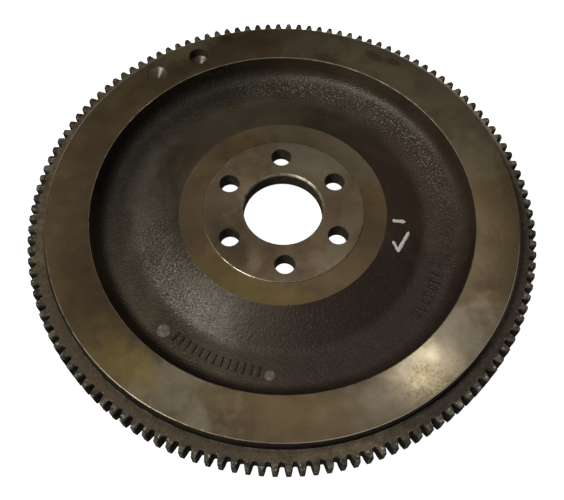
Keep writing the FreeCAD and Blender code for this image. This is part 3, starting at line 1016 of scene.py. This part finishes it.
def add_cast_details(body):
    """Two round pads, and rows of plain raised ribs where the casting carries its marks."""
    tools = Tools("raised_details")
    for angle, radius in PADS:
        tools.add(low_pad(radius), polar(PAD_CIRCLE_R, angle, DISH_FLOOR_Z), "rubbed_casting")
    for circle_r, first, last, count in RIB_ROWS:
        for index in range(count):
            angle = first + (last - first) * index / (count - 1)
            tools.add(low_bar(*RIB_SIZE), polar(circle_r, angle, DISH_FLOOR_Z), "cast_skin", turn=angle)
    tools.apply(body, "UNION")


def make_casting():
    """The casting piece, in place of its CAD node."""
    body = add_object("casting_body", casting_blank(), CASTING_MATERIALS.values())
    cut_holes(body)
    add_cast_details(body)
    smooth_by_angle(body.data, CASTING_CREASE)
    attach(body, BODY)
    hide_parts("flywheel_casting")


# ------------ the ring gear


def tooth_side(tip_r, cut, tip_round):
    """Points of radius and sideways distance from a tooth's middle out to the middle of the gap."""
    root_r = TIP_R - TOOTH_DEPTH
    tip_half = TIP_HALF - cut
    root_half = ROOT_HALF - cut
    side = [(tip_r, 0.0), (tip_r, tip_half - tip_round)]
    side.append((tip_r - CORNER_CUT * tip_round, tip_half - CORNER_CUT * tip_round))
    side.append((tip_r - tip_round, tip_half + CORNER_SWELL * tip_round))
    for share, bulge in FLANK_SWELLS:
        radius = tip_r - tip_round + (root_r - tip_r + tip_round) * share
        side.append((radius, tip_half + (root_half - tip_half) * share + bulge))
    side.append((root_r, root_half))
    half_gap = math.pi * root_r / TEETH - root_half
    for share in GAP_SHARES:
        turn = share * math.pi / 2
        side.append((root_r - ROOT_DEPTH * math.sin(turn), root_half + half_gap * (1 - math.cos(turn))))
    return side


def tooth_ring(z, leading=0.0, trailing=0.0, drop=0.0, tip_round=TIP_ROUND):
    """One ring of points round all the teeth.

    leading and trailing thin each tooth's two flanks and drop shortens it, each by its own wear.
    """
    points = []
    for tooth in range(TEETH):
        wear = 1.0 + WEAR_SPREAD * noise.noise(Vector((tooth * 0.73, 4.1, 0.0)))
        tip_r = TIP_R - drop * wear - TIP_UNEVEN * (1 + noise.noise(Vector((tooth * 1.31, 0.0, 7.7))))
        behind = tooth_side(tip_r, trailing * wear, tip_round)
        ahead = tooth_side(tip_r, leading * wear, tip_round)
        outline = [(radius, -away) for radius, away in behind[:0:-1]] + ahead[:-1]
        middle = 2 * math.pi * tooth / TEETH
        for radius, away in outline:
            points.append(on_circle(radius, middle + away / radius, z))
    return points


def round_ring(radius, z, like):
    """A circle with one point at the angle of each point of another ring."""
    return [on_circle(radius, math.atan2(y, x), z) for x, y, _ in like]


def make_ring_gear():
    """The toothed hoop, in place of its CAD node."""
    root_r = TIP_R - TOOTH_DEPTH
    land_r = root_r - LAND_WIDTH
    entry = (ENTRY_LEADING_CUT, ENTRY_TRAILING_CUT, ENTRY_TIP_DROP, ENTRY_TIP_ROUND)
    worn = (ENTRY_LEADING_CUT + NOSE_LEADING_WEAR, ENTRY_TRAILING_CUT + NOSE_TRAILING_WEAR,
            ENTRY_TIP_DROP + NOSE_TIP_WEAR, ENTRY_TIP_ROUND)
    bottom = tooth_ring(GEAR_BOTTOM_Z, BACK_WEAR, BACK_WEAR, BACK_WEAR)
    top = tooth_ring(GEAR_TOP_Z, *worn)
    crown_foot = []
    for x, y, z in top:
        radius = math.hypot(x, y)
        inward = min(radius - CROWN_WIDTH, root_r) / radius
        crown_foot.append((x * inward, y * inward, z))
    rings = [
        (round_ring(GEAR_SEAT_R, GEAR_BOTTOM_Z, bottom), "gear_land"),
        (round_ring(land_r, GEAR_BOTTOM_Z, bottom), "gear_land"),
        (bottom, "gear_entry"),
        (tooth_ring(GEAR_BOTTOM_Z + BACK_EDGE), "gear_flank"),
        (tooth_ring(GEAR_TOP_Z - ENTRY_LENGTH), "gear_entry"),
        (tooth_ring(GEAR_TOP_Z - NOSE, *entry), "gear_wear"),
        (top, "gear_crown"),
        (crown_foot, "gear_land"),
        (round_ring(land_r, GEAR_TOP_Z, top), "gear_land"),
        (round_ring(land_r - SEAM_LAND, GEAR_TOP_Z, top), "gear_land"),
        (round_ring(GEAR_SEAT_R + SEAM_CHAMFER_WIDTH, GEAR_TOP_Z, top), "gear_wear"),
        (round_ring(GEAR_SEAT_R, GEAR_TOP_Z - SEAM_CHAMFER_DEPTH, top), "gear_land"),
    ]
    steps = len(bottom)
    points = [metres(point) for ring, _ in rings for point in ring]
    faces = [face[::-1] for face in ring_faces(len(rings), steps, closed=True)]
    per_tooth = steps // TEETH
    tip_faces = range(per_tooth // 2 - TIP_FACES, per_tooth // 2 + TIP_FACES)
    indices = []
    for _, surface in rings:
        for step in range(steps):
            on_tip = step % per_tooth in tip_faces and surface in ("gear_flank", "gear_entry")
            indices.append(GEAR_SLOTS.index("gear_tip" if on_tip else surface))
    mesh = mesh_from("ring_gear_body", points, faces, indices)
    smooth_by_angle(mesh, GEAR_CREASE)
    gear = add_object("ring_gear_body", mesh, GEAR_MATERIALS.values())
    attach(gear, BODY)
    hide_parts("ring_gear")


# ------------ small pieces


def finish_dowels():
    """The CAD dowels keep their shape and get their steel."""
    steel = ground_steel()
    for name, node in frame["nodes"].items():
        if name.startswith("clutch_dowel"):
            node.data.materials.clear()
            node.data.materials.append(steel)
            smooth_by_angle(node.data, DOWEL_CREASE)


def cone_point(x, y, lift):
    """Point that far above the rough cone between hub and dish floor, at x and y in millimetres."""
    radius = math.hypot(x, y)
    slope = (DISH_FLOOR_Z - HUB_ANNULUS_Z) / (CONE_FOOT_R - HUB_ANNULUS_R)
    z = HUB_ANNULUS_Z + slope * (radius - HUB_ANNULUS_R)
    return Vector((x, y, z + sand_relief(x, y, z) + lift)) * MM


def make_paint():
    """A tick and a dash of white marking paint, brushed on the cone."""
    mesh = bmesh.new()
    for stroke in PAINT_STROKES:
        line = [Vector(spot) for spot in stroke]
        spine = []
        for start, stop in zip(line, line[1:]):
            pieces = max(2, round((stop - start).length / PAINT_STEP))
            spine += [start.lerp(stop, piece / pieces) for piece in range(pieces)]
        spine.append(line[-1])
        last = len(spine) - 1
        sections = []
        for index, spot in enumerate(spine):
            along = (spine[min(last, index + 1)] - spine[max(0, index - 1)]).normalized()
            side = Vector((-along.y, along.x))
            taper = min(1.0, PAINT_TIP + PAINT_SPREAD * min(index, last - index))
            uneven = 1 + PAINT_UNEVEN * noise.noise(Vector((spot.x, spot.y, 5.0)) / 1.5)
            half = PAINT_HALF * taper * uneven
            section = []
            for across, lift in PAINT_SECTION:
                place = spot + side * half * across
                section.append(mesh.verts.new(cone_point(place.x, place.y, lift)))
            sections.append(section)
        for here, there in zip(sections, sections[1:]):
            for corner in range(len(here)):
                following = (corner + 1) % len(here)
                mesh.faces.new((here[corner], there[corner], there[following], here[following]))
        mesh.faces.new(sections[0])
        mesh.faces.new(sections[-1][::-1])
    bmesh.ops.recalc_face_normals(mesh, faces=mesh.faces)
    data = bpy.data.meshes.new("paint_tick")
    mesh.to_mesh(data)
    mesh.free()
    smooth_by_angle(data, PAINT_CREASE)
    paint = add_object("paint_tick", data, [marking_paint()])
    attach(paint, BODY)


# ------------ the studio

CAMERA_AIM = Vector((0.08, -26.6, 1.8)) * MM
CAMERA_DISTANCE = 0.41105
CAMERA_ELEVATION = 62.84
CAMERA_ROLL = 1.70
CAMERA_LENS = 48.95
SENSOR = 36.0
WARM_WHITE = (1.0, 0.97, 0.92)
ROOM_STRENGTH = 0.055
TABLE_GAP = 0.2 * MM
# Table and backdrop: radius and rise in metres.
BACKDROP = ((2.5, 0.0), (3.6, 0.3), (4.3, 1.0), (4.6, 2.1), (4.6, 5.0))
BACKDROP_STEPS = 64


def make_camera():
    """Camera above and in front of the flywheel, turned a little about its own line of sight."""
    data = bpy.data.cameras.new("camera")
    data.lens = CAMERA_LENS
    data.sensor_width = SENSOR
    data.clip_start = 0.01
    camera = add_object("camera", data)
    rise = math.radians(CAMERA_ELEVATION)
    back = Vector((0.0, -math.cos(rise), math.sin(rise)))
    tilt = Matrix.Rotation(math.pi / 2 - rise, 4, "X")
    roll = Matrix.Rotation(math.radians(CAMERA_ROLL), 4, "Z")
    camera.matrix_world = Matrix.Translation(CAMERA_AIM + back * CAMERA_DISTANCE) @ tilt @ roll
    bpy.context.scene.camera = camera


def area_light(name, direction, distance, size, power, colour, target=(0.0, 0.0, 0.0)):
    """Round soft light that far away in that direction from the target, facing it."""
    data = bpy.data.lights.new(name, "AREA")
    data.shape = "DISK"
    data.size = size
    data.energy = power
    data.color = colour
    light = add_object(name, data)
    way = Vector(direction).normalized()
    light.location = Vector(target) + way * distance
    light.rotation_euler = way.to_track_quat("Z", "Y").to_euler()


def make_studio():
    """Two soft lights, a dim room and a white table that curves up all round into a backdrop."""
    spot = polar(112.0, -51.0, RIM_FACE_Z)
    area_light("light_behind_right", (71, 127, 366), distance=1.6, size=0.34, power=2.1,
               colour=WARM_WHITE, target=spot)
    area_light("light_left", (-0.47, -0.28, 0.84), distance=1.5, size=0.45, power=11.0,
               colour=(1.0, 0.98, 0.95))
    world = bpy.data.worlds.new("room")
    bpy.context.scene.world = world
    world.use_nodes = True
    background = world.node_tree.nodes["Background"].inputs
    background["Color"].default_value = (*WARM_WHITE, 1.0)
    background["Strength"].default_value = ROOM_STRENGTH
    bpy.context.scene.view_settings.view_transform = "Standard"
    table_z = CAD_BOX[0][2] - TABLE_GAP
    points = [(0.0, 0.0, table_z)]
    for radius, rise in BACKDROP:
        for step in range(BACKDROP_STEPS):
            points.append(on_circle(radius, 2 * math.pi * step / BACKDROP_STEPS, table_z + rise))
    faces = [(0, 1 + step, 1 + (step + 1) % BACKDROP_STEPS) for step in range(BACKDROP_STEPS)]
    faces += ring_faces(len(BACKDROP), BACKDROP_STEPS, start=1)
    floor = add_object("floor", mesh_from("floor", points, faces), [studio_floor()])
    floor.visible_diffuse = False
    floor.visible_glossy = False


make_casting()
make_ring_gear()
finish_dowels()
make_paint()
make_camera()
make_studio()
